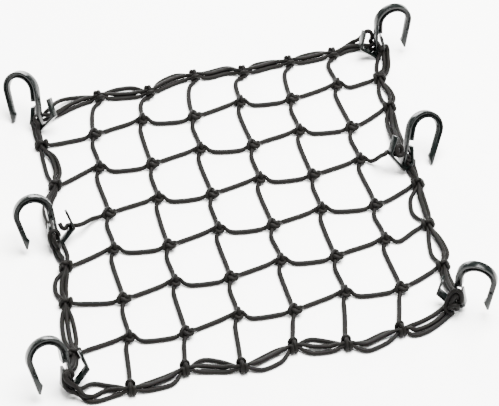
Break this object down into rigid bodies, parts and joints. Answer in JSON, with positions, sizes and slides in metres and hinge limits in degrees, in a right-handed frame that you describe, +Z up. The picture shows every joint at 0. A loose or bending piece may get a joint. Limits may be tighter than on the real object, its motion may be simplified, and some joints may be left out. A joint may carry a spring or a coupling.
{
  "type": "cargo net",
  "caption": "Square elastic cargo net of knotted round cord in open meshes, tied to a bundled cord border, with moulded hooks clipped along two sides.",
  "frame": {"origin": "centre of the whole net on the surface it lies on", "axes": "+Z up, +X towards the side with the right hooks, +Y towards the back edge of the net"},
  "size_m": [0.5076, 0.4964, 0.0667],
  "materials": {
    "elastic_cord": "matte woven sleeve",
    "hook_plastic": "moulded, glossy"
  },
  "bodies": {
    "root": {"net_mesh": "elastic_cord", "border_outer": "elastic_cord", "border_middle": "elastic_cord", "border_inner": "elastic_cord", "hook_left_back": "hook_plastic", "hook_left_middle": "hook_plastic", "hook_left_front": "hook_plastic", "hook_right_back": "hook_plastic", "hook_right_middle": "hook_plastic", "hook_right_front": "hook_plastic"}
  },
  "joints": []
}
